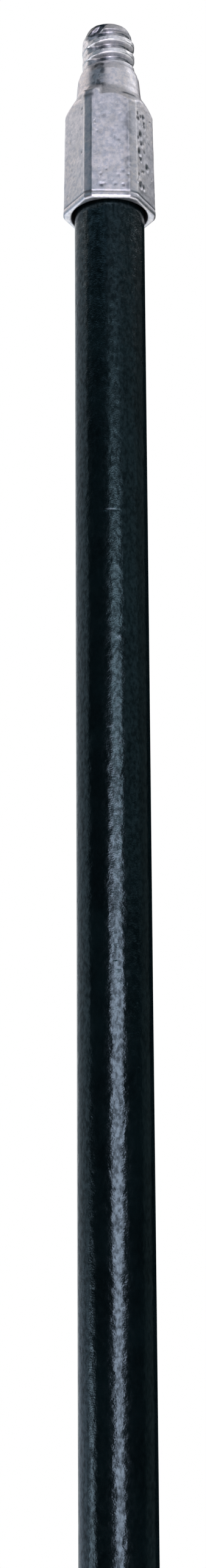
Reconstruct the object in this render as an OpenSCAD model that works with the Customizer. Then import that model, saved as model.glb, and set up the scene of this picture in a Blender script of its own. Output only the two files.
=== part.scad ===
// Telescoping extension pole for a paint roller: two steel tubes, a cast threaded tip and a twist lock.
// +Z runs along the pole towards the tip. The origin is the centre of the end cap's lowest face.
// The pole is drawn pulled right out and locked.

/* [Overall] */
// Length from the end cap to the end of the thread, pulled right out
pole_length = 1219; // [1219:1:1260]
// Bare inner tube between the collar and the tip, pulled right out
exposed_length = 474; // [440:1:474]

/* [Tubes] */
// Outside diameter of the inner tube
inner_od = 25; // [24.8:0.1:25]
// Wall of the inner tube
inner_wall = 0.8; // [0.7:0.1:0.8]
// Outside diameter of the outer tube
outer_od = 28.6; // [28.6:0.1:28.8]
// Wall of the outer tube
outer_wall = 0.9; // [0.8:0.1:0.9]

/* [Threaded tip] */
// Outside diameter of the tip's thread
thread_od = 19.1; // [18.8:0.1:19.2]
// Pitch of the tip's thread
thread_pitch = 5.08; // [5:0.02:5.1]
// Depth of the tip's thread
thread_depth = 2.3; // [2:0.1:2.4]
// Distance from the axis to a corner flat of the tip's hexagon, at its mouth
hex_corner_r = 16.45; // [16.3:0.05:16.6]
// Width of the flat that cuts off each corner of the hexagon
hex_corner_w = 3.1; // [2.4:0.1:3.4]
// Share of its mouth size that the hexagon keeps at the shoulder
hex_draft = 0.955; // [0.95:0.005:1]
// Depth of the socket that takes the inner tube
socket_depth = 36; // [34:0.5:38]
// Radius of the relief at the mouth of the socket
socket_mouth_r = 13.6; // [13.4:0.1:13.7]

/* [Collar] */
// Length of the collar
collar_length = 54; // [50:1:58]
// Largest radius of the collar
collar_r = 18; // [17.6:0.1:18.4]
// Number of finger flutes round the collar
collar_flutes = 12; // [8:1:14]
// Length of the guide liner that reaches down between the tubes
liner_length = 86; // [80:1:90]

/* [Grip and end cap] */
// Length of the rubber grip
grip_length = 170; // [150:5:200]
// Radius over the ribs of the grip
grip_r = 17.2; // [16.8:0.1:17.4]
// Distance between the ribs of the grip
rib_pitch = 6.8; // [6:0.2:8]
// Radius of the hole that the pole hangs by
hang_hole_r = 4.5; // [4:0.5:5]

/* [Twist lock] */
// Outside diameter of the lock screw
screw_od = 10; // [9.6:0.1:10]
// Pitch of the lock screw
screw_pitch = 3; // [2.5:0.5:3]
// Length of the split sleeve
sleeve_length = 28; // [26:1:30]
// Half angle of the cone that spreads the sleeve
cone_angle = 10; // [9:0.5:10]
// Travel of the cone between locked and free
cone_travel = 2.25; // [2:0.05:2.5]

/* [Hidden] */
$fn = 96;
eps = 0.01;

// Gap between pieces that are fixed together, and between pieces that slide on each other
fixed_gap = 0.05;
slide_gap = 0.1;

inner_r = inner_od / 2;
inner_bore_r = inner_r - inner_wall;
outer_r = outer_od / 2;
outer_bore_r = outer_r - outer_wall;

// Heights on the tip, above the mouth of its socket
shoulder_low = 40;
shoulder_high = 46.5;
neck_top = 54.4;
thread_base = 59.2;
thread_crest_at_x = 64.2;
nose_start = 70.6;
tip_height = 75.2;

// Heights on the whole pole
tip_z = pole_length - tip_height;
collar_top = tip_z - exposed_length;
collar_bottom = collar_top - collar_length;
collar_step = 8;
outer_tube_top = collar_top - collar_step;
outer_tube_bottom = 26;
inner_tube_top = tip_z + socket_depth - 0.5;
stop_gap = 0.3;
inner_tube_bottom = collar_top - liner_length - stop_gap;

// The twist lock hangs under the end of the inner tube
plug_flange = 8;
washer_h = 1;
flange_bottom = inner_tube_bottom - plug_flange;
washer_bottom = flange_bottom - washer_h;
sleeve_top = washer_bottom - slide_gap;
sleeve_bottom = sleeve_top - sleeve_length;
cone_base = 5;
cone_bottom = sleeve_bottom - cone_base;
stop_top = cone_bottom - cone_travel - 0.3;
stop_washer_h = 1.2;
stop_nut_h = 6.5;
screw_bottom = stop_top - stop_washer_h - stop_nut_h - 2.5;

// The rivets that hold the tip sit on its two rear side flats, which lean in with the draft
rivet_angles = [30, 150];
rivet_r = 2;
rivet_head_r = 3.6;
rivet_height = 22;
tip_rivet_z = tip_z + rivet_height;
side_flat_r = hex_corner_r * cos(30) + hex_corner_w / 4;
rivet_seat_r = side_flat_r * (1 - (1 - hex_draft) * (rivet_height - rivet_head_r) / shoulder_high);
plug_rivet_z = inner_tube_bottom + 8;
plug_rivet_angles = [0, 180];

// Screws through the collar and the end cap
screw_angles = [90, 210, 330];
collar_screw_z = collar_bottom + 12;
cap_skirt_top = 52;
cap_screw_z = 38;
small_screw_r = 1.6;

// Grip, with a band at each end
band_h = 8;
grip_bottom = cap_skirt_top + 12 + band_h;

// ---------- shared shapes ----------

// A tube standing on z = 0
module tube(r_out, r_in, h) {
    difference() {
        cylinder(r = r_out, h = h);
        translate([0, 0, -1]) cylinder(r = r_in, h = h + 2);
    }
}

// Places its children pointing outwards from the axis, at an angle and a height
module radially(angle, z) {
    translate([0, 0, z]) rotate([0, 0, angle]) rotate([0, 90, 0]) children();
}

// A hexagonal prism that is given by its size across flats
module hexagon(flats, h) {
    cylinder(r = flats / 2 / cos(30), h = h, $fn = 6);
}

// A right-hand helical ridge of trapezoidal section round the Z axis.
// It runs from z0 to z1, its crest is at height z_at_x on the +X side, and it fades in and out.
module ridge(r_root, r_crest, pitch, half_root, half_crest, z0, z1, z_at_x, steps = 24) {
    turns = (z1 - z0) / pitch;
    rings = ceil(turns * steps);
    fade = steps / 3;
    function grow(i) = min(1, (i + 0.5) / fade, (rings - i + 0.5) / fade);
    points = [
        for (i = [0:rings])
            let (z = z0 + (z1 - z0) * i / rings,
                 a = (z - z_at_x) / pitch * 360,
                 r = r_root + (r_crest - r_root) * grow(i))
            for (p = [[r_root - 0.6, -half_root], [r, -half_crest], [r, half_crest], [r_root - 0.6, half_root]])
                [p[0] * cos(a), p[0] * sin(a), z + p[1]]
    ];
    sides = [
        for (i = [0:rings - 1])
            for (k = [0:3])
                let (a = 4 * i + k, b = 4 * i + (k + 1) % 4)
                for (t = [[a, b, a + 4], [b, b + 4, a + 4]]) t
    ];
    last = 4 * rings;
    ends = [[2, 1, 0], [3, 2, 0], [last, last + 1, last + 2], [last, last + 2, last + 3]];
    polyhedron(points = points, faces = concat(sides, ends), convexity = 8);
}

// A blind rivet that points outwards: head, shank and the bulb behind the inner wall
module blind_rivet(seat_r, inside_r) {
    head_h = 1.4;
    seat = seat_r + fixed_gap;
    rotate_extrude() polygon([
        [0, inside_r - 2.6], [2.7, inside_r - 2.2], [2.7, inside_r - 0.7], [rivet_r, inside_r - 0.3],
        [rivet_r, seat], [rivet_head_r, seat], [rivet_head_r * 0.86, seat + head_h * 0.6],
        [rivet_head_r * 0.45, seat + head_h], [0, seat + head_h]
    ]);
}

// ---------- outer section ----------

module outer_tube() {
    color([0.07, 0.08, 0.09])
    difference() {
        translate([0, 0, outer_tube_bottom])
            tube(outer_r, outer_bore_r, outer_tube_top - outer_tube_bottom);
        for (a = screw_angles)
            radially(a, collar_screw_z) cylinder(r = small_screw_r + fixed_gap, h = 20);
        radially(90, cap_screw_z) cylinder(r = small_screw_r + fixed_gap, h = 20);
    }
}

// Moulded collar over the top of the outer tube, fluted for the fingers
module collar_shell() {
    flute_r = 3;
    color([0.1, 0.1, 0.11])
    difference() {
        translate([0, 0, collar_bottom])
            rotate_extrude() polygon([
                [outer_r + fixed_gap, 0], [collar_r - 1.6, 0], [collar_r - 0.4, 0.9], [collar_r, 2.4],
                [collar_r, 8], [collar_r - 0.6, 9.4], [collar_r - 0.6, collar_length - 12],
                [collar_r, collar_length - 10.6], [collar_r, collar_length - 5.5],
                [collar_r - 0.9, collar_length - 1.8], [collar_r - 2.6, collar_length - 0.3],
                [collar_r - 3.4, collar_length], [inner_r + 0.4, collar_length],
                [inner_r + 0.4, collar_length - 2.5], [15.7, collar_length - 2.5],
                [15.7, collar_length - collar_step], [outer_r + fixed_gap, collar_length - collar_step]
            ]);
        for (i = [0:collar_flutes - 1])
            rotate([0, 0, (i + 0.5) * 360 / collar_flutes])
                translate([collar_r + flute_r - 1.7, 0, collar_bottom + 12])
                    cylinder(r = flute_r, h = collar_length - 26, $fn = 48);
        for (a = screw_angles)
            radially(a, collar_screw_z) {
                cylinder(r = small_screw_r + fixed_gap, h = 20);
                translate([0, 0, collar_r - 1.9]) cylinder(r = 3.1, h = 6);
            }
    }
}

// Short pan-head screws that hold the collar to the outer tube and stop inside its wall
module collar_screws() {
    color("silver")
    for (a = screw_angles)
        radially(a, collar_screw_z)
            difference() {
                rotate_extrude() polygon([
                    [0, outer_bore_r + 0.05], [small_screw_r, outer_bore_r + 0.35],
                    [small_screw_r, collar_r - 1.85], [2.9, collar_r - 1.85],
                    [2.8, collar_r - 1], [1.9, collar_r - 0.35], [0, collar_r - 0.2]
                ]);
                for (q = [0, 90])
                    rotate([0, 0, q]) translate([-1.6, -0.3, collar_r - 1.1]) cube([3.2, 0.6, 4]);
            }
}

// Thin nylon liner that guides the inner tube and stops it from pulling out
module guide_liner() {
    color([0.85, 0.85, 0.8])
    union() {
        translate([0, 0, collar_top - liner_length])
            tube(outer_bore_r - fixed_gap, inner_r + slide_gap, liner_length - collar_step + 1);
        translate([0, 0, outer_tube_top + fixed_gap])
            tube(15.6, inner_r + slide_gap, 3 - fixed_gap);
    }
}

module wiper_ring() {
    color([0.05, 0.05, 0.05])
    translate([0, 0, outer_tube_top + 3 + fixed_gap])
        rotate_extrude() polygon([
            [inner_r + slide_gap, 1.5], [inner_r + 0.7, 0], [15.6, 0], [15.6, 2.4], [inner_r + slide_gap, 2.4]
        ]);
}

// Ribbed rubber grip
module grip_sleeve() {
    rib_count = floor((grip_length - 6) / rib_pitch);
    rib_h = 1.1;
    first = (grip_length - rib_count * rib_pitch) / 2;
    ribs = [
        for (i = [0:rib_count - 1])
            for (p = [[0, 0], [0.25, rib_h * 0.75], [0.36, rib_h], [0.64, rib_h], [0.75, rib_h * 0.75]])
                [grip_r - rib_h + p[1], first + (i + p[0]) * rib_pitch]
    ];
    color([0.06, 0.06, 0.065])
    translate([0, 0, grip_bottom])
        rotate_extrude() polygon(concat(
            [[outer_r + fixed_gap, 0], [grip_r - rib_h, 0]],
            ribs,
            [[grip_r - rib_h, grip_length], [outer_r + fixed_gap, grip_length]]
        ));
}

// Hard band that closes one end of the grip
module grip_band(z) {
    color([0.3, 0.31, 0.33])
    translate([0, 0, z])
        rotate_extrude() polygon([
            [outer_r + fixed_gap, 0], [grip_r - 0.2, 0], [grip_r + 0.5, 0.7],
            [grip_r + 0.5, band_h - 0.7], [grip_r - 0.2, band_h], [outer_r + fixed_gap, band_h]
        ]);
}

module grip_band_top() grip_band(grip_bottom + grip_length + fixed_gap);

module grip_band_bottom() grip_band(grip_bottom - band_h - fixed_gap);

// Cap over the lower end, with a flat-sided nose and a hole to hang the pole by
module end_cap() {
    nose_r = 13;
    nose_t = 15;
    hole_z = 11.5;
    color([0.1, 0.1, 0.11])
    difference() {
        union() {
            intersection() {
                rotate_extrude() polygon([
                    [0, 0], [7.5, 0], [10.2, 0.9], [12.2, 3.2], [nose_r, 6.5], [nose_r, 24], [0, 24]
                ]);
                translate([-20, -nose_t / 2, -1]) cube([40, nose_t, 26]);
            }
            rotate_extrude() polygon([
                [0, 19.5], [11.5, 19.5], [14.5, 21.2], [16.2, 24.2], [16.6, 28],
                [16.6, cap_skirt_top - 1.2], [15.8, cap_skirt_top],
                [outer_r + fixed_gap, cap_skirt_top], [outer_r + fixed_gap, outer_tube_bottom - fixed_gap],
                [outer_bore_r - fixed_gap, outer_tube_bottom - fixed_gap], [outer_bore_r - fixed_gap, 43],
                [outer_bore_r - 1.4, 45], [10, 45], [10, 28], [0, 28]
            ]);
        }
        translate([0, -30, hole_z]) rotate([-90, 0, 0]) cylinder(r = hang_hole_r, h = 60);
        radially(90, cap_screw_z) {
            translate([0, 0, 9]) cylinder(r = small_screw_r + fixed_gap, h = 20);
            translate([0, 0, 15.2]) cylinder(r1 = small_screw_r + fixed_gap, r2 = 3.4, h = 1.8);
        }
    }
}

// Countersunk screw through the cap, the outer tube and the cap's plug
module end_cap_screw() {
    color("silver")
    radially(90, cap_screw_z)
        difference() {
            rotate_extrude() polygon([
                [0, 10.2], [0.6, 10.3], [small_screw_r, 11.6], [small_screw_r, 15.15], [2.9, 16.5], [0, 16.5]
            ]);
            for (q = [0, 90])
                rotate([0, 0, q]) translate([-1.6, -0.3, 15.6]) cube([3.2, 0.6, 2]);
        }
}

// ---------- inner section ----------

// Hexagon with its corners cut flat, tapered by the casting's draft
module tip_hexagon() {
    linear_extrude(height = shoulder_high, scale = hex_draft)
        polygon([
            for (k = [0:5])
                for (s = [-1, 1])
                    hex_corner_r * [cos(60 * k), sin(60 * k)]
                        + s * hex_corner_w / 2 * [-sin(60 * k), cos(60 * k)]
        ]);
}

// What the hexagon's ends are rounded to: a small chamfer at the mouth and a steep cone at the shoulder
module tip_envelope() {
    rotate_extrude() polygon([
        [0, 0], [15.9, 0], [17.5, 3.2], [17.5, shoulder_low - 2.6],
        [11.95, shoulder_high], [0, shoulder_high]
    ]);
}

module tip_neck() {
    root_r = thread_od / 2 - thread_depth;
    rotate_extrude() polygon([
        [0, shoulder_high - 6], [11.5, shoulder_high - 6], [11.95, shoulder_high], [11.5, neck_top - 4],
        [11.15, neck_top], [10.4, neck_top + 2.4], [9.4, neck_top + 4], [root_r, thread_base],
        [root_r, tip_height - 0.4], [root_r - 0.4, tip_height], [0, tip_height]
    ]);
}

module tip_thread() {
    crest_r = thread_od / 2;
    intersection() {
        ridge(crest_r - thread_depth, crest_r + 0.05, thread_pitch, 1.75, 0.95,
              thread_base - 1.2, tip_height + 1, thread_crest_at_x);
        rotate_extrude() polygon([
            [0, neck_top], [crest_r, neck_top], [crest_r, nose_start], [7.7, tip_height - 0.5],
            [7.3, tip_height - 0.15], [0, tip_height - 0.15]
        ]);
    }
}

// Cast tip: roller thread, neck and hexagonal socket
module threaded_tip() {
    color("silver")
    translate([0, 0, tip_z])
        difference() {
            union() {
                intersection() {
                    tip_hexagon();
                    tip_envelope();
                }
                tip_neck();
                tip_thread();
            }
            translate([0, 0, -1]) cylinder(r = inner_r + fixed_gap, h = socket_depth + 1);
            translate([0, 0, -1]) cylinder(r = socket_mouth_r, h = 7);
            translate([0, 0, 6 - eps]) cylinder(r1 = socket_mouth_r, r2 = inner_r + fixed_gap, h = 3);
            for (a = rivet_angles)
                radially(a, rivet_height) cylinder(r = rivet_r + fixed_gap, h = 20);
        }
}

module tip_rivets() {
    color("silver")
    for (a = rivet_angles)
        radially(a, tip_rivet_z) blind_rivet(rivet_seat_r, inner_bore_r);
}

module inner_tube() {
    color([0.07, 0.08, 0.09])
    difference() {
        translate([0, 0, inner_tube_bottom])
            tube(inner_r, inner_bore_r, inner_tube_top - inner_tube_bottom);
        for (a = rivet_angles)
            radially(a, tip_rivet_z) cylinder(r = rivet_r + fixed_gap, h = 20);
        for (a = plug_rivet_angles)
            radially(a, plug_rivet_z) cylinder(r = 1.5 + fixed_gap, h = 20);
    }
}

// Plug in the end of the inner tube. Its flange runs in the outer tube and meets the liner at full reach.
module lock_plug() {
    plug_top = inner_tube_bottom + 26;
    head_seat = inner_tube_bottom + 12;
    color([0.8, 0.8, 0.76])
    difference() {
        union() {
            translate([0, 0, inner_tube_bottom - fixed_gap])
                cylinder(r = inner_bore_r - fixed_gap, h = plug_top - inner_tube_bottom);
            translate([0, 0, flange_bottom])
                cylinder(r = outer_bore_r - 0.3, h = plug_flange - fixed_gap);
        }
        translate([0, 0, head_seat]) hexagon(16.2, 30);
        translate([0, 0, flange_bottom - 1]) cylinder(r = screw_od / 2 + fixed_gap, h = 60);
        for (a = plug_rivet_angles)
            radially(a, plug_rivet_z) cylinder(r = 1.5 + fixed_gap, h = 20);
    }
}

// Two flush drive pins that hold the plug in the tube
module plug_rivets() {
    color("silver")
    for (a = plug_rivet_angles)
        radially(a, plug_rivet_z)
            translate([0, 0, 7]) cylinder(r = 1.5, h = inner_r - 7 - 0.02);
}

// Hex-headed lock screw. Its head is keyed in the plug, so it turns with the inner tube.
module lock_screw() {
    head_bottom = inner_tube_bottom + 12;
    core_r = screw_od / 2 - 0.8;
    thread_top = flange_bottom + 2;
    color("silver")
    union() {
        intersection() {
            translate([0, 0, head_bottom + fixed_gap]) hexagon(16, 6.4);
            translate([0, 0, head_bottom])
                rotate_extrude() polygon([[0, 0], [9.6, 0], [9.6, 5.2], [8, 6.45], [0, 6.45]]);
        }
        rotate_extrude() polygon([
            [0, screw_bottom], [core_r - 0.6, screw_bottom], [core_r, screw_bottom + 1],
            [core_r, thread_top], [screw_od / 2, thread_top + 0.8], [screw_od / 2, head_bottom + 1],
            [0, head_bottom + 1]
        ]);
        ridge(core_r, screw_od / 2 - 0.05, screw_pitch, 1, 0.55, screw_bottom + 2.2, thread_top - 1.5,
              screw_bottom, 16);
    }
}

module thrust_washer() {
    color("silver")
    translate([0, 0, washer_bottom + eps]) tube(10.5, screw_od / 2 + 0.2, washer_h - 2 * eps);
}

module stop_washer() {
    color("silver")
    translate([0, 0, stop_top - stop_washer_h + eps]) tube(9.5, screw_od / 2 + fixed_gap, stop_washer_h - eps);
}

module stop_nut() {
    nut_z = stop_top - stop_washer_h - stop_nut_h;
    color("silver")
    translate([0, 0, nut_z])
        difference() {
            intersection() {
                hexagon(16, stop_nut_h - eps);
                rotate_extrude() polygon([
                    [0, 0], [8, 0], [9.3, 1.1], [9.3, stop_nut_h - 1.1], [8, stop_nut_h], [0, stop_nut_h]
                ]);
            }
            translate([0, 0, -1]) cylinder(r = screw_od / 2 + fixed_gap, h = 20);
        }
}

// ---------- lock sleeve and cone ----------

// Radius of the cone's surface at a height, and the same surface inside the sleeve
function cone_r(z) = 10.4 - (z - sleeve_bottom) * tan(cone_angle);
cone_gap = 0.08;

module lock_sleeve() {
    taper_top = sleeve_top - 7;
    groove_z = sleeve_bottom + 9;
    color([0.85, 0.85, 0.8])
    difference() {
        translate([0, 0, sleeve_bottom])
            rotate_extrude() polygon([
                [cone_r(sleeve_bottom) + cone_gap, 0], [12.7, 0], [outer_bore_r - slide_gap, 1.2],
                [outer_bore_r - slide_gap, sleeve_length - 1.2], [12.7, sleeve_length],
                [screw_od / 2 + 0.3, sleeve_length], [screw_od / 2 + 0.3, sleeve_length - 7],
                [cone_r(taper_top) + cone_gap, sleeve_length - 7]
            ]);
        for (q = [0, 90])
            translate([0, 0, sleeve_bottom - 1]) rotate([0, 0, q])
                translate([-15, -1, 0]) cube([30, 2, sleeve_length - 5]);
        translate([0, 0, groove_z]) tube(15, 12.1, 2.2);
    }
}

// Rubber ring that holds the split sleeve closed on the cone
module sleeve_ring() {
    color([0.05, 0.05, 0.05])
    translate([0, 0, sleeve_bottom + 10.1])
        rotate_extrude() translate([12.68, 0]) circle(r = 0.55, $fn = 32);
}

// Cone that spreads the sleeve. Two ribs in the sleeve's slots stop it from turning.
module lock_cone() {
    cone_top = sleeve_top - 9;
    color([0.8, 0.8, 0.76])
    difference() {
        union() {
            translate([0, 0, sleeve_bottom - eps])
                cylinder(r1 = cone_r(sleeve_bottom), r2 = cone_r(cone_top), h = cone_top - sleeve_bottom);
            translate([0, 0, cone_bottom]) cylinder(r = cone_r(sleeve_bottom), h = cone_base);
            translate([-11.6, -0.8, sleeve_bottom - 2]) cube([23.2, 1.6, 16]);
        }
        translate([0, 0, cone_bottom - 1]) cylinder(r = screw_od / 2 + 0.15, h = 60);
        translate([0, 0, cone_bottom - 1]) hexagon(16.1, 1 + 7);
    }
}

// Nut held in the underside of the cone, which the lock screw draws up
module cone_nut() {
    color("goldenrod")
    translate([0, 0, cone_bottom + 0.2])
        difference() {
            hexagon(16, 6.6);
            translate([0, 0, -1]) cylinder(r = screw_od / 2 + 0.1, h = 20);
        }
}

outer_tube();
collar_shell();
collar_screws();
guide_liner();
wiper_ring();
grip_sleeve();
grip_band_top();
grip_band_bottom();
end_cap();
end_cap_screw();
threaded_tip();
tip_rivets();
inner_tube();
lock_plug();
plug_rivets();
lock_screw();
thrust_washer();
stop_washer();
stop_nut();
lock_sleeve();
sleeve_ring();
lock_cone();
cone_nut();
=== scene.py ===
"""Looks for the roller extension pole: detailed meshes, materials, studio light and the camera.

Profiles are in millimetres from a piece's own lowest point. Meshes are made in metres, in the
shared frame.
"""

import math
import random

import bmesh
import bpy
import numpy as np
from mathutils import Matrix, Vector, noise


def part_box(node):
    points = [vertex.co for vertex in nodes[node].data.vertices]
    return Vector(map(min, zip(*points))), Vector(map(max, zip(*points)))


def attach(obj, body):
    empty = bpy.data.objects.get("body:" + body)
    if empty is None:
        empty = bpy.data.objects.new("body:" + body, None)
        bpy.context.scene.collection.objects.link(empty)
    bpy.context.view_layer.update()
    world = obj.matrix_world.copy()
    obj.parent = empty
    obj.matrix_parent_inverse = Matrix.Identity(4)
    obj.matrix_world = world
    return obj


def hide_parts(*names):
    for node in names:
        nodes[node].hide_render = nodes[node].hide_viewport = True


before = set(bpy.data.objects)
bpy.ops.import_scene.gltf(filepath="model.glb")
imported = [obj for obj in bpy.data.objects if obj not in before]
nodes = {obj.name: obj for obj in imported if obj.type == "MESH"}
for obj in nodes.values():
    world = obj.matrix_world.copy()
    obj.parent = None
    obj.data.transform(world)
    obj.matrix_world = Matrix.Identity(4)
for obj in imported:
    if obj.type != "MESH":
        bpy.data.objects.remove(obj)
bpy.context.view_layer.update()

MM = 0.001
TAU = 2 * math.pi
rng = random.Random(41)


# ---------- mesh helpers ----------

def low(node):
    """Height of a node's lowest point, in millimetres."""
    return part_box(node)[0].z / MM


def high(node):
    """Height of a node's highest point, in millimetres."""
    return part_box(node)[1].z / MM


def smoothstep(a, b, x):
    """0 before a and 1 past b, with a smooth rise between them. a may be the larger one."""
    t = np.clip((x - a) / (b - a), 0, 1)
    return t * t * (3 - 2 * t)


def within(x, start, full, ending, end):
    """0 outside start to end, and 1 from full to ending."""
    return smoothstep(start, full, x) * smoothstep(end, ending, x)


def bell(x, centre, width):
    """Bell curve: 1 at the centre, and 0.37 at the width from it."""
    return np.exp(-(((x - centre) / width) ** 2))


def turned_from(angles, centre):
    """Turn from an angle in degrees to each of some angles, in radians from -pi to pi."""
    return np.angle(np.exp(1j * (angles - math.radians(centre))))


def away_from(angles, centre):
    """The same turn in degrees, without sign."""
    return np.abs(np.degrees(turned_from(angles, centre)))


def near(angles, centre, far, close):
    """1 within close degrees of an angle, falling to 0 at far degrees from it."""
    return smoothstep(far, close, away_from(angles, centre))


def soft_min(values, sharpness):
    """Minimum of some arrays, rounded where two of them meet."""
    values = np.array(np.broadcast_arrays(*values))
    least = values.min(axis=0)
    return least - np.log(np.exp(-sharpness * (values - least)).sum(axis=0)) / sharpness


def soft_max(values, sharpness):
    """Maximum of some arrays, filleted where two of them meet."""
    return -soft_min([-np.asarray(v) for v in values], sharpness)


def arc(cx, cz, r, start, end, steps):
    """Points (radius, height) on an arc, from one angle to another in degrees."""
    return [
        (cx + r * math.cos(math.radians(a)), cz + r * math.sin(math.radians(a)))
        for a in np.linspace(start, end, steps)
    ]


def fractal(points_mm, size, octaves=3, offset=0.0):
    """Perlin noise, about -1 to 1, with features of a given size in millimetres."""
    flat = points_mm.reshape(-1, 3) / size + offset
    values = [noise.fractal(Vector(p), 1.0, 2.0, octaves) for p in flat]
    return np.array(values).reshape(points_mm.shape[:-1])


def revolved(angles, radius, height):
    """Grid of points from radii and heights (rows) round the Z axis (columns)."""
    radius, height = np.broadcast_arrays(radius, height)
    return np.stack([radius * np.cos(angles), radius * np.sin(angles), height], axis=-1)


def grid_mesh(name, points, wrap):
    """Mesh from a grid of points in millimetres, closed round its columns.

    With wrap the last row joins the first; otherwise both ends close on the axis.
    """
    rows, cols = points.shape[:2]
    i, j = np.meshgrid(np.arange(rows if wrap else rows - 1), np.arange(cols), indexing="ij")
    here, beside = i * cols + j, i * cols + (j + 1) % cols
    next_row = (i + 1) % rows * cols
    above, diagonal = next_row + j, next_row + (j + 1) % cols
    faces = np.stack([here, beside, diagonal, above], axis=-1).reshape(-1, 4).tolist()
    verts = (points.reshape(-1, 3) * MM).tolist()
    if not wrap:
        for row, order in ((0, -1), (rows - 1, 1)):
            centre = len(verts)
            verts.append([0, 0, points[row, :, 2].mean() * MM])
            ring = [(row * cols + k, row * cols + (k + 1) % cols) for k in range(cols)]
            faces += [[centre, *pair[::order]] for pair in ring]
    mesh = bpy.data.meshes.new(name)
    mesh.from_pydata(verts, [], faces)
    mesh.validate()
    bm = bmesh.new()
    bm.from_mesh(mesh)
    bmesh.ops.recalc_face_normals(bm, faces=bm.faces)
    bm.to_mesh(mesh)
    bm.free()
    mesh.shade_smooth()
    obj = bpy.data.objects.new(name, mesh)
    bpy.context.scene.collection.objects.link(obj)
    return obj


def lathe(name, profile, cols, relief=None):
    """Closed ring from an outline of (radius, height) points.

    relief(angles, r, z) returns the radii to use in the outline's place.
    """
    angles = np.linspace(0, TAU, cols, endpoint=False)[None, :]
    profile = np.array(profile)
    r, z = np.broadcast_arrays(profile[:, :1], profile[:, 1:], angles)[:2]
    if relief:
        r = relief(angles, r, z)
    return grid_mesh(name, revolved(angles, r, z), wrap=True)


def resample(profile, step):
    """Adds points along an outline so that none lie further apart than step."""
    out = []
    for a, b in zip(profile, profile[1:] + profile[:1]):
        n = max(1, math.ceil(math.dist(a, b) / step))
        out += [(a[0] + (b[0] - a[0]) * k / n, a[1] + (b[1] - a[1]) * k / n) for k in range(n)]
    return out


def rounded(outline, radius, steps=4):
    """Rounds every corner of a closed outline of (radius, height) points."""
    out = []
    count = len(outline)
    for k in range(count):
        before, here, after = (Vector(outline[m % count]) for m in (k - 1, k, k + 1))
        r = min(radius, (here - before).length * 0.45, (after - here).length * 0.45)
        start = here + (before - here).normalized() * r
        end = here + (after - here).normalized() * r
        for t in np.linspace(0, 1, steps):
            p = start * (1 - t) ** 2 + here * 2 * t * (1 - t) + end * t**2
            out.append((p.x, p.y))
    return out


def refined(name, node, bevel, segments=3):
    """Copy of a CAD node with its seams welded and its sharp edges rounded."""
    mesh = nodes[node].data.copy()
    obj = bpy.data.objects.new(name, mesh)
    bpy.context.scene.collection.objects.link(obj)
    bm = bmesh.new()
    bm.from_mesh(mesh)
    bmesh.ops.remove_doubles(bm, verts=bm.verts, dist=0.002 * MM)
    bmesh.ops.dissolve_limit(bm, angle_limit=math.radians(1), verts=bm.verts, edges=bm.edges)
    bm.to_mesh(mesh)
    bm.free()
    mesh.shade_smooth()
    round_edges = obj.modifiers.new("round_edges", "BEVEL")
    round_edges.width = bevel * MM
    round_edges.segments = segments
    round_edges.limit_method = "ANGLE"
    round_edges.angle_limit = math.radians(35)
    round_edges.use_clamp_overlap = True
    normals = obj.modifiers.new("normals", "WEIGHTED_NORMAL")
    normals.keep_sharp = False
    return obj


def place(obj, body, node, material):
    """The piece stands for a node, rides on its body and gets its material."""
    obj.data.materials.clear()
    obj.data.materials.append(material)
    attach(obj, body)
    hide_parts(node)


# ---------- material helpers ----------

# The Mix node has a socket of the same name for each type; these are the colour ones.
MIX_COLOUR_A, MIX_COLOUR_B, MIX_COLOUR_RESULT = 6, 7, 2


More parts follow.
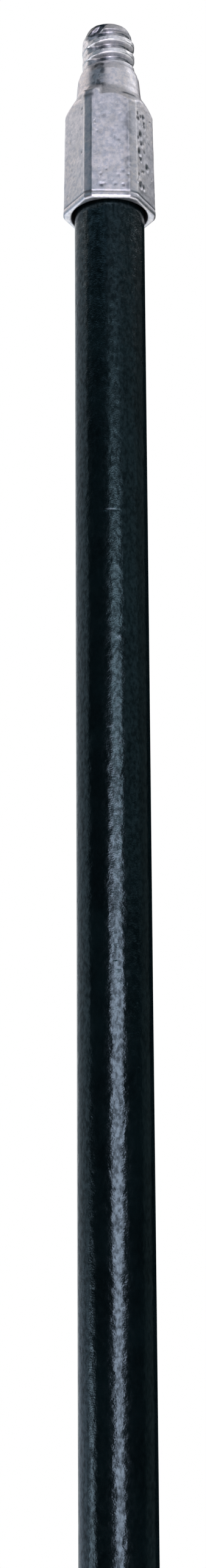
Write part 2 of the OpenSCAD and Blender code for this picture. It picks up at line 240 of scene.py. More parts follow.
class Shader:
    """A node material in the making: short calls for the nodes that the materials share."""

    def __init__(self, name):
        self.material = bpy.data.materials.new(name)
        self.material.use_nodes = True
        self.tree = self.material.node_tree
        self.bsdf = self.tree.nodes["Principled BSDF"]
        self.position = self.tree.nodes.new("ShaderNodeTexCoord").outputs["Object"]

    def set(self, **values):
        """Sets constants on the shader, with _ for the spaces in a socket's name."""
        for key, value in values.items():
            self.bsdf.inputs[key.replace("_", " ")].default_value = value

    def link(self, output, socket):
        self.tree.links.new(output, socket)

    def to_bsdf(self, output, name):
        self.link(output, self.bsdf.inputs[name])

    def stretched(self, x, y, z):
        """Position scaled along the axes: a smaller factor draws the features out."""
        node = self.tree.nodes.new("ShaderNodeMapping")
        node.inputs["Scale"].default_value = (x, y, z)
        self.link(self.position, node.inputs["Vector"])
        return node.outputs["Vector"]

    def noise(self, size_mm, detail=2.0, roughness=0.5, where=None):
        """Noise from 0 to 1 with features of about size_mm."""
        node = self.tree.nodes.new("ShaderNodeTexNoise")
        node.inputs["Scale"].default_value = 1 / (size_mm * MM)
        node.inputs["Detail"].default_value = detail
        node.inputs["Roughness"].default_value = roughness
        self.link(where or self.position, node.inputs["Vector"])
        return node.outputs["Fac"]

    def cells(self, size_mm):
        """Distance to the nearest of scattered points, in cells of about size_mm."""
        node = self.tree.nodes.new("ShaderNodeTexVoronoi")
        node.inputs["Scale"].default_value = 1 / (size_mm * MM)
        self.link(self.position, node.inputs["Vector"])
        return node.outputs["Distance"]

    def attribute(self, name):
        """A mesh's own layer of numbers."""
        node = self.tree.nodes.new("ShaderNodeAttribute")
        node.attribute_name = name
        return node.outputs["Fac"]

    def span(self, value, low_in, high_in, low_out=0, high_out=1):
        """Smooth step that maps one range on another and stays inside it."""
        node = self.tree.nodes.new("ShaderNodeMapRange")
        node.interpolation_type = "SMOOTHSTEP"
        node.inputs["From Min"].default_value = low_in
        node.inputs["From Max"].default_value = high_in
        node.inputs["To Min"].default_value = low_out
        node.inputs["To Max"].default_value = high_out
        self.link(value, node.inputs["Value"])
        return node.outputs["Result"]

    def mix(self, factor, a, b):
        """Mix of two colours, which are tuples or outputs."""
        node = self.tree.nodes.new("ShaderNodeMix")
        node.data_type = "RGBA"
        self.link(factor, node.inputs["Factor"])
        for value, socket in ((a, MIX_COLOUR_A), (b, MIX_COLOUR_B)):
            if isinstance(value, tuple):
                node.inputs[socket].default_value = (*value, 1)
            else:
                self.link(value, node.inputs[socket])
        return node.outputs[MIX_COLOUR_RESULT]

    def bump(self, height, depth_mm, below=None):
        """Normal of a relief from 0 to 1 with a depth, on top of the relief below it."""
        node = self.tree.nodes.new("ShaderNodeBump")
        node.inputs["Strength"].default_value = 1.0
        node.inputs["Distance"].default_value = depth_mm * MM
        self.link(height, node.inputs["Height"])
        if below:
            self.link(below, node.inputs["Normal"])
        return node.outputs["Normal"]


def black_enamel():
    """Gloss black stoved paint on drawn steel tube, with a leathery orange peel."""
    s = Shader("black_enamel")
    s.set(IOR=1.52, Specular_Tint=(0.62, 0.90, 1.0, 1))
    tone = s.span(s.noise(14, detail=4), 0.35, 0.7)
    s.to_bsdf(s.mix(tone, (0.0004, 0.0014, 0.0018), (0.0009, 0.0028, 0.0035)), "Base Color")
    lengthwise = s.stretched(1, 1, 0.6)
    haze = s.noise(1.8, detail=3, roughness=0.6, where=lengthwise)
    s.to_bsdf(s.span(haze, 0.3, 0.7, 0.17, 0.22), "Roughness")
    glints = s.noise(1.1, detail=2, roughness=0.6, where=lengthwise)
    s.to_bsdf(s.span(glints, 0.30, 0.70, 0.20, 0.70), "Specular IOR Level")
    peel = s.bump(s.noise(2.8, detail=0, where=lengthwise), 0.10)
    dimples = s.bump(s.noise(1.5, detail=0, where=lengthwise), 0.07, below=peel)
    grain = s.bump(s.noise(0.5, detail=0), 0.030, below=dimples)
    pits = s.span(s.cells(5.2), 0.03, 0.15)
    s.to_bsdf(s.bump(pits, 0.03, below=grain), "Normal")
    return s.material


def cast_metal():
    """Die-cast light alloy as it leaves the die: faintly mottled and tarnished.

    The mesh's layer of painted highlights brightens it along the hexagon's edges and the thread's
    crests, and its layer of painted shade and dirt darkens it.
    """
    s = Shader("cast_metal")
    s.set(Metallic=1.0)
    drift = s.span(s.noise(9, detail=2), 0.4, 0.6)
    warm_and_cool = s.mix(drift, (0.63, 0.63, 0.66), (0.67, 0.65, 0.65))
    mottle = s.span(s.noise(1.3, detail=5, roughness=0.7), 0.36, 0.60)
    mottled = s.mix(mottle, (0.49, 0.51, 0.56), warm_and_cool)
    stains = s.span(s.noise(1.1, detail=4, roughness=0.7), 0.62, 0.78, 0, 0.6)
    stained = s.mix(stains, mottled, (0.20, 0.24, 0.30))
    # Painted highlight: near-white mixed in by the mesh's highlight layer.
    highlighted = s.mix(s.attribute("painted_highlight"), stained, (0.95, 0.95, 0.96))
    # Painted shade, with some dirt: near-black mixed in by the mesh's shade and dirt layer.
    s.to_bsdf(s.mix(s.attribute("dirt_and_shade"), highlighted, (0.018, 0.032, 0.046)), "Base Color")
    s.to_bsdf(s.span(s.noise(2.0, detail=4), 0.3, 0.7, 0.34, 0.48), "Roughness")
    flow = s.bump(s.noise(2.6, detail=2), 0.035)
    grain = s.bump(s.noise(0.7, detail=3, roughness=0.55), 0.022, below=flow)
    pores = s.span(s.cells(2.1), 0.04, 0.16)
    s.to_bsdf(s.bump(pores, 0.03, below=grain), "Normal")
    return s.material


def plastic(name, dark, light, roughness, grain_mm, grain_depth):
    """Moulded plastic or nylon with a fine texture, slight flow marks and handling marks."""
    s = Shader(name)
    s.set(IOR=1.5)
    s.to_bsdf(s.mix(s.span(s.noise(7, detail=4), 0.3, 0.7), dark, light), "Base Color")
    handled = s.noise(4, detail=5, roughness=0.6)
    s.to_bsdf(s.span(handled, 0.35, 0.7, roughness, roughness + 0.14), "Roughness")
    flow = s.bump(s.noise(6, detail=2), 0.03)
    grain = s.noise(grain_mm, detail=3, roughness=0.6)
    s.to_bsdf(s.bump(grain, grain_depth, below=flow), "Normal")
    return s.material


def rubber(name, dark, light):
    """Matt rubber: fine pores, and dust that greys it in patches."""
    s = Shader(name)
    dust = s.span(s.noise(5, detail=5, roughness=0.65), 0.45, 0.75)
    s.to_bsdf(s.mix(dust, dark, light), "Base Color")
    s.to_bsdf(s.span(s.noise(2, detail=3), 0.3, 0.7, 0.62, 0.82), "Roughness")
    pores = s.bump(s.cells(0.45), 0.03)
    s.to_bsdf(s.bump(s.noise(1.2, detail=4), 0.04, below=pores), "Normal")
    return s.material


def metal(name, dark, light, roughness, brushed=(1, 1, 1)):
    """Plated or bright metal with fine marks along one direction and a little tarnish."""
    s = Shader(name)
    s.set(Metallic=1.0)
    tarnish_and_shade = s.span(s.noise(2.2, detail=5, roughness=0.6), 0.32, 0.68)
    s.to_bsdf(s.mix(tarnish_and_shade, dark, light), "Base Color")
    lines = s.noise(0.5, detail=4, where=s.stretched(*brushed))
    s.to_bsdf(s.span(lines, 0.3, 0.7, roughness, roughness + 0.16), "Roughness")
    waves = s.bump(s.noise(1.5, detail=2), 0.03)
    s.to_bsdf(s.bump(lines, 0.012, below=waves), "Normal")
    return s.material


def floor_paint():
    """Pale, matt studio floor."""
    s = Shader("studio_floor")
    s.set(Roughness=0.9)
    s.to_bsdf(s.mix(s.noise(180, detail=3), (0.80, 0.80, 0.80), (0.84, 0.84, 0.84)), "Base Color")
    return s.material


# ---------- the cast tip ----------

# Heights are above the tip's mouth, and profiles are (radius, height), all in millimetres.
TIP = {
    "corner_r": 16.45, "corner_w": 3.1, "draft": 0.955,
    "cone": ((17.5, 37.4), (11.95, 46.5)),
    "neck": (
        (11.95, 46.5), (11.5, 50.4), (11.15, 54.4), (10.4, 56.8), (9.4, 58.4), (7.25, 59.25),
    ),
    "nose": ((9.55, 70.6), (7.7, 74.7), (7.3, 75.2)),
    "socket_r": 12.55, "mouth_r": 13.6, "socket_top": 36.0,
    "root_r": 7.25, "crest_r": 9.55, "pitch": 5.08, "crest_half": 0.95, "crest_at_x": 64.2,
    "lip_r": 0.75, "line_above_mouth": 2.5,
}
CORNER_ANGLE = math.degrees(math.atan2(TIP["corner_w"] / 2, TIP["corner_r"]))
MEAN_R = 15  # turns angles on the hexagon into distances across it
FRONT = -90  # the facet that faces the camera, in degrees


def hexagon_radius(angles, z):
    """Radius of the drafted hexagon with its corners cut flat and its edges rounded."""
    scale = 1 - (1 - TIP["draft"]) * z / TIP["cone"][1][1]
    half = TIP["corner_w"] / 2
    facet = TIP["corner_r"] * math.cos(math.radians(30)) + half * math.sin(math.radians(30))
    planes = []
    for k in range(12):
        distance = TIP["corner_r"] if k % 2 == 0 else facet
        facing = np.cos(angles - math.radians(30 * k))
        planes.append(np.where(facing > 0.3, distance / np.maximum(facing, 0.3), 99) * scale)
    return soft_min(planes, 7)


def thread_radius(angles, z):
    """Radius of the right-hand thread, whose grooves are nearly filled where the die parts."""
    root, pitch, edge = TIP["root_r"], TIP["pitch"], TIP["crest_half"]
    depth = TIP["crest_r"] - root
    turn = np.mod(angles, TAU) / TAU
    from_crest = np.mod(z - TIP["crest_at_x"] - pitch * turn + pitch / 2, pitch) - pitch / 2
    r = root + depth * (1 - smoothstep(edge - 0.3, edge + 1.0, np.abs(from_crest)))
    for centre, solid, fade, short in ((-168, 14, 56, 0.1), (15, 8, 32, 0.5)):
        web = root + (depth - short) * (1 - smoothstep(solid, fade, away_from(angles, centre)))
        r = soft_max([r, web], 3)
    lean = angles - np.radians(6 * (z - 72.5))
    start = near(lean, -118, 22, 5) * smoothstep(70.2, 72.4, z)
    r = r - np.maximum(r - root - 0.2, 0) * start
    runout = near(angles, -20, 74, 52) * smoothstep(72.4, 73.6, z)
    return r + (TIP["crest_r"] - r) * runout


def tip_skin(angles, z):
    """Outer radius of the tip, without its casting marks, at every angle and height."""
    (r1, z1), (r2, z2) = TIP["cone"]
    sunk = 3.6 * near(angles, -119, 16, 9) * smoothstep(z2 + 1.5, z2 - 3, z)
    cone = r1 + (r2 - r1) * (z - sunk - z1) / (z2 - z1)
    neck_r, neck_z = zip(*TIP["neck"])
    neck = np.interp(z, neck_z, neck_r)
    nose_r, nose_z = zip(*TIP["nose"])
    thread = soft_min([thread_radius(angles, z), np.interp(z, nose_z, nose_r)], 12)
    shoulder = soft_max([neck, np.maximum(cone, 9)], 2.6) - 0.1
    lower = soft_min([hexagon_radius(angles, z), shoulder], 6)
    upper = np.maximum(neck, np.where(z > neck_z[2], thread, 0))
    share = smoothstep(z2 + 1, z2 + 3, z)
    return lower * (1 - share) + upper * share


# Distance across the front facet, height, radius and depth of the pits and bumps on view.
FRONT_PITS = (
    (-3.4, 4.9, 0.7, 0.30), (-2.2, 5.3, 0.45, 0.24), (1.6, 5.2, 0.42, 0.22), (4.3, 4.9, 0.5, 0.26),
    (-3.5, 9.2, 0.5, 0.2), (6.0, 9.0, 0.8, 0.2), (6.3, 12.0, 0.6, 0.14), (-2.5, 33.0, 0.9, 0.12),
    (11.2, 20.0, 1.0, 0.5), (11.5, 6.8, 0.95, 0.5), (16.8, 16.3, 0.9, 0.5), (11.0, 33.5, 0.8, 0.3),
    (12.3, 27.5, 1.1, 0.35), (12.8, 24.0, 0.7, 0.3),
)


def tip_pits():
    """Casting pits on the hexagon: angle in degrees, height, radius and depth in millimetres."""
    pits = []
    for facet in range(6):
        middle = 60 * facet + FRONT
        for _ in range(10):
            angle, z = middle + rng.uniform(-24, 24), rng.uniform(3, 38)
            pits.append((angle, z, rng.uniform(0.25, 0.6), rng.uniform(0.06, 0.2)))
    for _ in range(15):
        angle, z = rng.uniform(-50, -30), rng.uniform(4, 37)
        pits.append((angle, z, rng.uniform(0.35, 0.8), rng.uniform(0.12, 0.4)))
    for across, z, size, depth in FRONT_PITS:
        pits.append((FRONT + math.degrees(across / MEAN_R), z, size, depth))
    return pits


def tip_angles():
    """Angles of the grid's columns, in radians, closer together at the hexagon's edges."""
    stops = sorted(60 * k + side * CORNER_ANGLE for k in range(6) for side in (-1, 1))
    columns = []
    for a, b in zip(stops, stops[1:] + [stops[0] + 360]):
        count = 14 if b - a < 20 else 44
        t = np.linspace(0, 1, count, endpoint=False)
        columns += list(a + (b - a) * (t - np.sin(TAU * t) / TAU * 0.75))
    return np.radians(np.array(columns))[None, :]


def tip_inside(angles):
    """Radii and heights down the socket and round the edge of its mouth."""
    socket_r, mouth_r = TIP["socket_r"], TIP["mouth_r"]
    socket = [(socket_r, z) for z in np.linspace(TIP["socket_top"], 9.0, 12)]
    relief = [(socket_r + (mouth_r - socket_r) * t, 9 - 3 * t) for t in (0.33, 0.66, 1)]
    mouth = [(mouth_r, z) for z in (5, 3.5, 2, 1.2)] + arc(mouth_r + 0.5, 0.5, 0.5, 180, 270, 5)
    inside = np.array(socket + relief + mouth)
    return np.broadcast_arrays(inside[:, :1], inside[:, 1:], angles)[:2]


def tip_face(angles, inner):
    """Radii and heights of the flat face round the mouth and of the rounded lip outside it."""
    lip = TIP["lip_r"]
    rim = hexagon_radius(angles, 0.0) - 0.02
    radii = [inner + (rim - lip - inner) * t for t in (0.35, 0.7)]
    heights = [np.zeros_like(rim)] * 2
    for a in np.linspace(0, 80, 7):
        radii.append(rim - lip * (1 - math.sin(math.radians(a))))
        heights.append(np.full_like(rim, lip * (1 - math.cos(math.radians(a)))))
    return np.concatenate(radii), np.concatenate(heights)


def tip_dirt_and_shade(angles, z, skin, points, blotches):
    """Painted shade and dirt from 0 to 1, but for that in the pits and on the line above the
    mouth.
    """
    on_thread = within(z, 58.6, 59.4, 74.6, 75.2)
    # Painted shade in the thread's grooves, deepest on the left.
    grooves = smoothstep(8.15, 7.35, skin) * on_thread
    grooves = grooves * (0.34 + 0.35 * blotches + 0.6 * near(angles, -116, 26, 12))
    # Painted shade in the crease between the shoulder and the neck.
    crease = bell(skin - TIP["neck"][0][0], 1.9, 0.4) * near(angles, -60, 15, 8)
    crease = crease * within(z, 40, 42, 46, 48)
    # Painted shadow at the top end of the corner strip.
    strip_end = bell(z, 41.6, 0.8) * near(angles, -120, 9, 6) * 0.7
    # Painted shade line along the edge of the corner strip.
    strip_edge = near(angles, -115.6, 1.6, 0.4) * smoothstep(42, 40, z) * 0.5
    strip_edge = strip_edge * (0.6 + 0.4 * blotches)
    # Painted shade near one edge of the front facet, not tarnish.
    right_of_front = bell(np.cos(angles) * skin, 6.2, 1.2) * (np.sin(angles) < 0)
    tarnish_and_shade = right_of_front * smoothstep(43, 38, z) * (0.25 + 0.4 * blotches)
    # Darker blotches on the front-left of the neck.
    neck = near(angles, -111, 17, 8) * within(z, 46.5, 48, 57, 58.5) * blotches * 0.8
    specks = smoothstep(0.1, 0.4, fractal(points, 1.1, 2, offset=11.0))
    specks = specks * smoothstep(58, 59.5, z) * (0.15 + 0.35 * near(angles, -135, 60, 20))
    # Darker on the left of the nose.
    nose = near(angles, -146, 50, 25) * within(z, 70.2, 71.4, 74.5, 75.1)
    nose = nose * (0.75 + 0.25 * blotches)
    parts = [grooves, crease, strip_end, strip_edge, tarnish_and_shade, neck, specks, nose]
    return np.max(parts, axis=0) * 0.85


def tip_painted_highlight(angles, z, skin, blotches):
    """Painted highlight from 0 to 1: along the hexagon's edges and on the thread's crests."""
    along = np.mod(np.degrees(angles), 60)
    before, after = along - CORNER_ANGLE - 0.7, along - 60 + CORNER_ANGLE + 0.7
    # Painted highlight lines along the edges of the corner strips, on the hexagon only.
    edges = bell(np.minimum(np.abs(before), np.abs(after)), 0, 0.8) * smoothstep(43, 38, z)
    # Painted highlight on the thread's crests.
    crests = smoothstep(8.7, 9.4, skin) * smoothstep(58, 60, z)
    return np.maximum(edges * 0.6, crests * 0.8) * (0.7 + 0.3 * blotches)


def point_layer(obj, name, parts, centres):
    """Stores a number for each point of a grid, part by part, and for its two end centres."""
    values = np.append(np.concatenate(parts).ravel(), centres)
    layer = obj.data.attributes.new(name, "FLOAT", "POINT")
    layer.data.foreach_set("value", values.astype(np.float32))


def threaded_tip():
    """The whole casting: down the socket, round the mouth, up the outside and over the nose."""
    angles = tip_angles()
    inner_r, inner_z = tip_inside(angles)
    face_r, face_z = tip_face(angles, inner_r[-1, 0])
    top = np.array([(7.15, 75.12), (6.7, 75.2), (4.5, 75.2), (2.0, 75.2)])
    top_r, top_z = np.broadcast_arrays(top[:, :1], top[:, 1:], angles)[:2]

    levels = np.concatenate([
        np.arange(0.8, 4.0, 0.2), np.arange(4.0, 36.0, 0.5), np.arange(36.0, 47.5, 0.2),
        np.arange(47.5, 57.5, 0.35), np.arange(57.5, 75.0, 0.11),
    ])[:, None]
    line = TIP["line_above_mouth"]
    skin = tip_skin(angles, levels)
    skin = skin + 0.10 * smoothstep(2.3, 1.6, levels) - 0.10 * bell(levels, line, 0.35)
    pit_dirt_and_shade = np.zeros_like(skin)
    on_hexagon = smoothstep(43, 38, levels)
    for angle, z, size, depth in tip_pits():
        across = turned_from(angles, angle) * MEAN_R
        away = np.sqrt(across**2 + ((levels - z) * 0.8) ** 2) / size
        dent = np.exp(-(away**2) * 1.6) * on_hexagon
        rim = np.exp(-((away - 1.5) ** 2) * 3) * on_hexagon
        skin = skin - depth * dent + 0.3 * depth * depth * rim
        # Dirt and painted shade in the pits, deeper pits darker.
        pit_dirt_and_shade = np.maximum(pit_dirt_and_shade, dent * np.minimum(depth * 3.5, 1))
    points = revolved(angles, skin, levels)
    on_thread = smoothstep(57, 60, levels)
    lumps = fractal(points, 5.5, 3) * 0.06 + fractal(points, 1.3, 2, offset=7.0) * 0.016
    lumps = lumps + fractal(points, 1.7, 2, offset=5.0) * 0.07 * on_thread
    skin = skin + lumps * smoothstep(0.8, 2.5, levels) - 0.03 * on_thread

    radii = np.concatenate([inner_r, face_r, skin, top_r])
    heights = np.concatenate([inner_z, face_z, np.broadcast_to(levels, skin.shape), top_z])
    grid = revolved(angles, radii, heights) + np.array([0, 0, low("threaded_tip")])
    obj = grid_mesh("cast_threaded_tip", grid, wrap=False)

    blotches = smoothstep(-0.1, 0.35, fractal(points, 2.6, 3, offset=3.0))
    # Dirt and painted shade: in the pits, from the marks above, and a dark line on the shallow
    # groove above the mouth.
    dirt_and_shade = np.max([
        pit_dirt_and_shade, tip_dirt_and_shade(angles, levels, skin, points, blotches),
        np.broadcast_to(bell(levels, line, 0.3) * 0.5, skin.shape),
    ], axis=0)
    # Painted shade down the socket, darker the deeper it goes.
    socket_shade = np.interp(inner_z, (0, 5), (0.2, 1.0))
    # Painted highlights on the hexagon's edges and the thread's crests.
    painted_highlight = tip_painted_highlight(angles, levels, skin, blotches)
    point_layer(obj, "dirt_and_shade", [socket_shade, face_r * 0, np.clip(dirt_and_shade, 0, 1), top_r * 0], (1, 0))
    point_layer(obj, "painted_highlight", [inner_r * 0, face_r * 0, painted_highlight, top_r * 0], (0, 0))
    return obj


# ---------- tubes ----------

WAVE_DEPTH, WAVE_LENGTH = 0.012, 37.0  # how far out of round a tube is, and over what length


def drawn_tube(name, node, wall, marks):
    """Painted tube with rolled ends, faintly out of round.

    marks are nicks: distance below its top, angle in degrees, half length, half width and depth,
    in millimetres but for the angle. A negative depth is a blob.
    """
    r_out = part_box(node)[1].x / MM
    z0, z1 = low(node), high(node)
    levels = set(np.arange(z0 + 0.6, z1 - 0.6, 4.0))
    for down, _, half_length, _, _ in marks:
        mark_z, reach = z1 - down, 3 * half_length
        levels |= set(np.arange(mark_z - reach, mark_z + reach, half_length / 4))
    levels = sorted(levels)
    spaced = [b for a, b in zip(levels, levels[1:]) if b - a > 0.05]
    levels = [levels[0]] + spaced + [z1 - 0.55]
    edge = wall / 2
    outline = arc(r_out - edge, z0 + edge, edge, -90, 0, 5) + [(r_out, z) for z in levels]
    outline += arc(r_out - edge, z1 - edge, edge, 0, 180, 9)
    outline += [(r_out - wall, z) for z in np.linspace(z1 - 3, z0 + 3, 40)]
    outline += arc(r_out - edge, z0 + edge, edge, 180, 270, 5)[:-1]

    def relief(angles, r, z):
        outer = r > r_out - 0.01
        wave = np.zeros_like(r)
        turn = np.broadcast_to(angles, r.shape)[outer]
        wave[outer] = WAVE_DEPTH * np.sin(z[outer] / WAVE_LENGTH + 2 * turn)
        for down, angle, half_length, half_width, depth in marks:
            across = turned_from(angles, angle) * r_out
            away = (across / half_width) ** 2 + ((z - (z1 - down)) / half_length) ** 2
            wave -= outer * depth * np.exp(-away * 1.5)
        return r + wave - outer * WAVE_DEPTH

    return lathe(name, outline, 128, relief)


# ---------- collar, grip and bands ----------

ON_TUBE_R = 14.35  # bore of what sits on the outer tube, 0.05 mm clear of it


def fluted_collar():
    """Collar with twelve finger flutes, three screw pockets and a lip over its chamber."""
    z0, z1 = low("collar_shell"), high("collar_shell")
    r_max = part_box("collar_shell")[1].x / MM - 0.01
    lip_bore, chamber = 12.9, 15.7
    flutes, flute_r, flute_depth = 12, 3.0, 1.7
    length = z1 - z0
    outline = rounded([
        (ON_TUBE_R, 0), (r_max - 1.6, 0), (r_max - 0.4, 0.9), (r_max, 2.4), (r_max, 8),
        (r_max - 0.6, 9.4), (r_max - 0.6, length - 12), (r_max, length - 10.6),
        (r_max, length - 5.5), (r_max - 0.9, length - 1.8), (r_max - 2.6, length - 0.3),
        (r_max - 3.4, length), (lip_bore, length), (lip_bore, length - 2.5),
        (chamber, length - 2.5), (chamber, length - 8), (ON_TUBE_R, length - 8),
    ], 0.6)
    outline = [(r, z + z0) for r, z in resample(outline, 0.55)]

    def relief(angles, r, z):
        outer = r > chamber + 0.35
        axis_r = r_max + flute_r - flute_depth
        step = TAU / flutes
        off = np.mod(angles, step) - step / 2
        across = axis_r * np.sin(off)
        sunk = np.sqrt(np.maximum(flute_r**2 - across**2, 0))
        flute = np.where(np.abs(across) < flute_r, axis_r * np.cos(off) - sunk, 99)
        ends = smoothstep(z0 + 11.2, z0 + 12.8, z) * smoothstep(z1 - 13.2, z1 - 14.8, z)
        fluted = soft_min([r, flute], 5)
        out = np.where(outer, r + (fluted - r) * ends, r)
        for screw in (90, 210, 330):
            across = turned_from(angles, screw) * r_max
            away = np.sqrt(across**2 + (z - z0 - 12) ** 2)
            pocket = smoothstep(3.35, 3.05, away)
            out = np.where(outer, out + (np.minimum(out, r_max - 1.9) - out) * pocket, out)
        return out

    return lathe("fluted_collar", outline, 360, relief)


def ribbed_grip():
    """Rubber grip with round ribs, eighteen creases across them and two mould seams."""
    z0, z1 = low("grip_sleeve"), high("grip_sleeve")
    r_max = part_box("grip_sleeve")[1].x / MM
    length, pitch, rise = z1 - z0, 6.8, 1.1
    floor_r = r_max - rise
    ribs = int((length - 6) // pitch)
    first = (length - ribs * pitch) / 2
    outline = [(ON_TUBE_R, 0), (floor_r - 0.3, 0), (floor_r, 0.4)]
    for k in range(ribs):
        for t in np.linspace(0, 1, 14, endpoint=False):
            swell = 0.5 - 0.5 * math.cos(TAU * t)
            outline.append((floor_r + rise * swell**0.55, first + (k + t) * pitch))
    outline += [(floor_r, length - 0.4), (floor_r - 0.3, length), (ON_TUBE_R, length)]
    outline = [(r, z + z0) for r, z in resample(outline, 3.0)]

    def relief(angles, r, z):
        outer = r > ON_TUBE_R + 0.5
        seam = bell(np.sin(angles) * r_max, 0, 0.35)
        up_rib = np.clip((r - floor_r) / rise, 0, 1)
        crease = bell(np.sin(angles * 9), 0, 0.22) * 0.45 * up_rib
        return r - outer * (crease + seam * 0.08)

    return lathe("ribbed_grip", outline, 288, relief)


def band(name, node):
    """Hard ring at an end of the grip, with a groove round its middle."""
    z0, z1 = low(node), high(node)
    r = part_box(node)[1].x / MM
    h = z1 - z0
    outline = rounded([
        (ON_TUBE_R, 0), (r - 0.7, 0), (r, 0.7), (r, h * 0.36), (r - 0.5, h * 0.42),
        (r - 0.5, h * 0.58), (r, h * 0.64), (r, h - 0.7), (r - 0.7, h), (ON_TUBE_R, h),
    ], 0.4)
    return lathe(name, [(x, z + z0) for x, z in resample(outline, 1.0)], 160)


# ---------- build ----------

enamel = black_enamel()
alloy = cast_metal()
collar_plastic = plastic(
    "collar_plastic", (0.012, 0.013, 0.014), (0.026, 0.027, 0.029), 0.42, 0.35, 0.035)
band_plastic = plastic(
    "band_plastic", (0.12, 0.125, 0.135), (0.17, 0.18, 0.19), 0.28, 0.3, 0.012)
nylon = plastic("natural_nylon", (0.62, 0.60, 0.53), (0.74, 0.72, 0.66), 0.35, 0.5, 0.02)
acetal = plastic("white_acetal", (0.70, 0.70, 0.66), (0.80, 0.80, 0.77), 0.25, 0.6, 0.012)
grip_rubber = rubber("grip_rubber", (0.012, 0.012, 0.013), (0.040, 0.040, 0.042))
seal_rubber = rubber("seal_rubber", (0.008, 0.008, 0.009), (0.020, 0.020, 0.021))
zinc = metal("zinc_plate", (0.45, 0.46, 0.48), (0.66, 0.68, 0.72), 0.22)
rivet = metal("rivet_metal", (0.50, 0.51, 0.54), (0.72, 0.73, 0.76), 0.24)
brass = metal("turned_brass", (0.55, 0.38, 0.15), (0.78, 0.60, 0.28), 0.2, brushed=(1, 1, 9))

INNER_MARKS = [
    (153, -94, 0.5, 2.6, 0.10), (155, -146, 0.8, 0.7, -0.12), (173, -82, 1.2, 0.9, -0.10),
    (198, -80, 1.0, 1.2, -0.12), (309, -91, 0.5, 0.6, 0.20), (312, -86, 0.35, 0.4, 0.12),
    (366, -70, 1.6, 0.5, 0.05), (250, -112, 0.4, 0.4, -0.06), (420, -100, 0.5, 0.5, -0.07),
    (230, 40, 1.2, 0.7, 0.08), (340, 120, 0.8, 0.8, -0.08),
]
OUTER_MARKS = [
    (80, -60, 0.9, 0.8, 0.08), (140, -120, 0.6, 1.6, 0.07), (210, 15, 1.4, 0.6, 0.06),
    (265, 100, 0.7, 0.7, -0.08), (330, -85, 0.8, 1.0, 0.08),
]

place(threaded_tip(), "upper", "threaded_tip", alloy)
inner = drawn_tube("painted_inner_tube", "inner_tube", 0.8, INNER_MARKS)
place(inner, "upper", "inner_tube", enamel)
outer = drawn_tube("painted_outer_tube", "outer_tube", 0.9, OUTER_MARKS)
place(outer, "outer", "outer_tube", enamel)
place(fluted_collar(), "outer", "collar_shell", collar_plastic)
place(ribbed_grip(), "outer", "grip_sleeve", grip_rubber)
for node in ("grip_band_top", "grip_band_bottom"):
    place(band(f"{node}_moulded", node), "outer", node, band_plastic)
cap = refined("end_cap_moulded", "end_cap", 0.45)
cap.data.transform(Matrix.Translation((0, 0, 0.005 * MM)))  # keeps it inside the CAD box
place(cap, "outer", "end_cap", collar_plastic)
collar_screws = refined("collar_pan_screws", "collar_screws", 0.08, 2)
place(collar_screws, "outer", "collar_screws", zinc)
cap_screw = refined("cap_countersunk_screw", "end_cap_screw", 0.08, 2)
place(cap_screw, "outer", "end_cap_screw", zinc)
place(refined("tip_blind_rivets", "tip_rivets", 0.15), "upper", "tip_rivets", rivet)

# The pieces inside the tubes are shown as CAD made them.
INSIDE_FINISHES = {
    "guide_liner": nylon, "lock_sleeve": nylon, "lock_plug": acetal, "lock_cone": acetal,
    "wiper_ring": seal_rubber, "sleeve_ring": seal_rubber, "cone_nut": brass,
    "plug_rivets": zinc, "lock_screw": zinc, "thrust_washer": zinc, "stop_washer": zinc,
    "stop_nut": zinc,
}
for name, finish in INSIDE_FINISHES.items():
    nodes[name].data.materials.clear()
    nodes[name].data.materials.append(finish)


# ---------- floor, light and camera ----------

def floor():
    """Round floor that the pole stands on."""
    bpy.ops.mesh.primitive_circle_add(
        vertices=128, radius=2.6, fill_type="NGON", location=(0, 0, 0))
    disc = bpy.context.object
    disc.name = "studio_floor"
    disc.data.materials.append(floor_paint())


def panel(name, location, facing, width, height, radiance, colour):
    """Lit rectangle that only light and reflections show."""
    data = bpy.data.lights.new(name, "AREA")
    data.shape = "RECTANGLE"
    data.size, data.size_y = width, height
    data.color = colour
    data.energy = radiance * math.pi * width * height
    obj = bpy.data.objects.new(name, data)
    bpy.context.scene.collection.objects.link(obj)
    obj.location = location
    obj.rotation_euler = facing.to_track_quat("-Z", "Y").to_euler()
    obj.visible_camera = False


SOFTBOX_DISTANCE = 1.5


def softbox(name, azimuths, heights, radiance, colour):
    """Upright panel at a fixed distance that faces the pole's axis.

    Azimuth 0 is in front of the pole and 90 on its right.
    """
    middle, half = sum(azimuths) / 2, (azimuths[1] - azimuths[0]) / 2
    width = 2 * SOFTBOX_DISTANCE * math.tan(math.radians(half))
    outwards = Matrix.Rotation(math.radians(middle), 3, "Z") @ Vector((0, -1, 0))
    location = outwards * SOFTBOX_DISTANCE + Vector((0, 0, sum(heights) / 2))
    panel(name, location, -outwards, width, heights[1] - heights[0], radiance, colour)


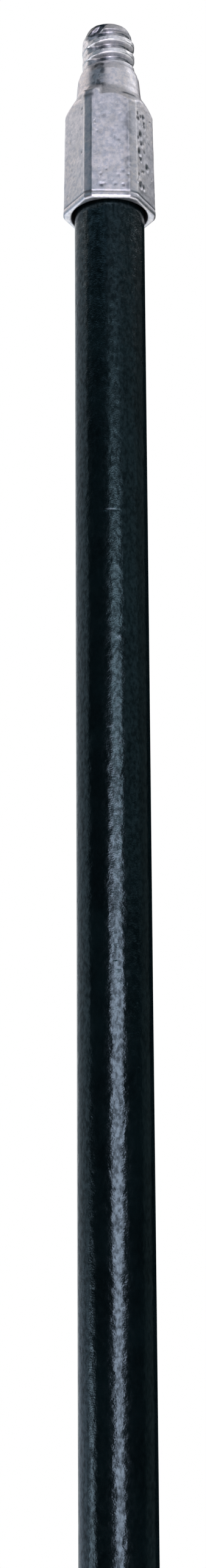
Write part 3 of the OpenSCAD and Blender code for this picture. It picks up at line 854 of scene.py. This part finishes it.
# A bright low window in front, softer panels above it, and a dark gap on the left of it:
# azimuths in degrees, heights in metres, radiance and colour.
SOFTBOXES = {
    "window_low": ((-10, 14), (0.40, 0.95), 6.2, (1.0, 0.87, 1.0)),
    "window": ((-14, 22), (0.95, 1.28), 6.6, (1.0, 0.87, 1.0)),
    "window_fade": ((-6, 25), (1.28, 1.62), 2.9, (0.84, 0.91, 1.0)),
    "front_dim": ((-9, 34), (1.62, 1.98), 0.42, (0.68, 0.89, 1.0)),
    "front_high": ((-13, 36), (1.98, 2.65), 0.30, (0.80, 0.80, 0.98)),
    "front_top": ((-13, 36), (2.65, 3.5), 1.8, (0.97, 0.95, 1.0)),
    "right_teal": ((34, 84), (1.25, 1.98), 0.26, (0.68, 0.91, 1.0)),
    "right_low": ((84, 124), (0.3, 1.98), 0.10, (0.8, 1.0, 1.0)),
    "right_high": ((36, 88), (2.12, 3.3), 1.05, (1.0, 0.97, 1.0)),
    "right_rear_high": ((88, 134), (2.12, 3.3), 1.8, (1.0, 0.97, 1.0)),
    "gap_middle": ((-78, -14), (2.02, 2.32), 0.68, (0.56, 0.80, 1.0)),
    "gap_high": ((-78, -14), (2.32, 3.3), 0.08, (0.52, 0.85, 1.0)),
    "left_high": ((-152, -84), (2.08, 3.3), 1.3, (1.0, 0.91, 0.89)),
    "left": ((-152, -84), (0.85, 2.08), 0.50, (0.77, 0.89, 1.0)),
    "left_low": ((-152, -78), (-0.2, 0.85), 0.80, (0.74, 0.84, 1.0)),
    "left_glint": ((-89, -74), (0.2, 0.78), 2.6, (0.90, 0.91, 1.0)),
    "back": ((172, 206), (-0.2, 3.3), 0.9, (0.9, 0.96, 1.0)),
}


def studio_lights():
    """The softboxes all round and a large panel overhead."""
    for name, settings in SOFTBOXES.items():
        softbox(name, *settings)
    above, downwards = Vector((0.4, 0.3, 3.0)), Vector((-0.1, -0.1, -1))
    panel("overhead", above, downwards, 2.2, 1.8, 0.46, (1.0, 0.98, 0.98))


def studio_world():
    """White all round, but dark in reflections, so that gloss is drawn by the panels."""
    world = bpy.data.worlds.new("studio")
    bpy.context.scene.world = world
    world.use_nodes = True
    tree = world.node_tree
    white = tree.nodes["Background"]
    white.inputs["Color"].default_value = (1, 1, 1, 1)
    dim = tree.nodes.new("ShaderNodeBackground")
    dim.inputs["Color"].default_value = (0.003, 0.009, 0.012, 1)
    path = tree.nodes.new("ShaderNodeLightPath")
    mix = tree.nodes.new("ShaderNodeMixShader")
    tree.links.new(path.outputs["Is Glossy Ray"], mix.inputs["Fac"])
    tree.links.new(white.outputs["Background"], mix.inputs[1])
    tree.links.new(dim.outputs["Background"], mix.inputs[2])
    tree.links.new(mix.outputs["Shader"], tree.nodes["World Output"].inputs["Surface"])


def camera():
    """Camera in front of the pole and below its tip, looking up, as solved from the photo.

    reach is its distance from the point it looks at, which lies below the tip's mouth and aside.
    """
    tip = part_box("threaded_tip")[0].z
    turn, pitch, roll = math.radians(1.8), math.radians(15.8), math.radians(0.33)
    reach, aim_below, aside = 0.795, 0.2111, -0.0035
    data = bpy.data.cameras.new("camera")
    data.sensor_width = 36
    data.lens = 54.503106
    data.clip_start, data.clip_end = 0.01, 50
    obj = bpy.data.objects.new("camera", data)
    bpy.context.scene.collection.objects.link(obj)
    around = Matrix.Rotation(-turn, 3, "Z")
    forward = around @ Vector((0, math.cos(pitch), math.sin(pitch)))
    up = around @ Vector((0, -math.sin(pitch), math.cos(pitch)))
    right = around @ Vector((1, 0, 0))
    side = right * math.cos(roll) - up * math.sin(roll)
    above = up * math.cos(roll) + right * math.sin(roll)
    rotation = Matrix((side, above, -forward)).transposed().to_4x4()
    location = Vector((0, 0, tip - aim_below)) - forward * reach + right * aside
    obj.matrix_world = Matrix.Translation(location) @ rotation
    bpy.context.scene.camera = obj


floor()
studio_world()
studio_lights()
camera()
bpy.context.scene.view_settings.view_transform = "Standard"
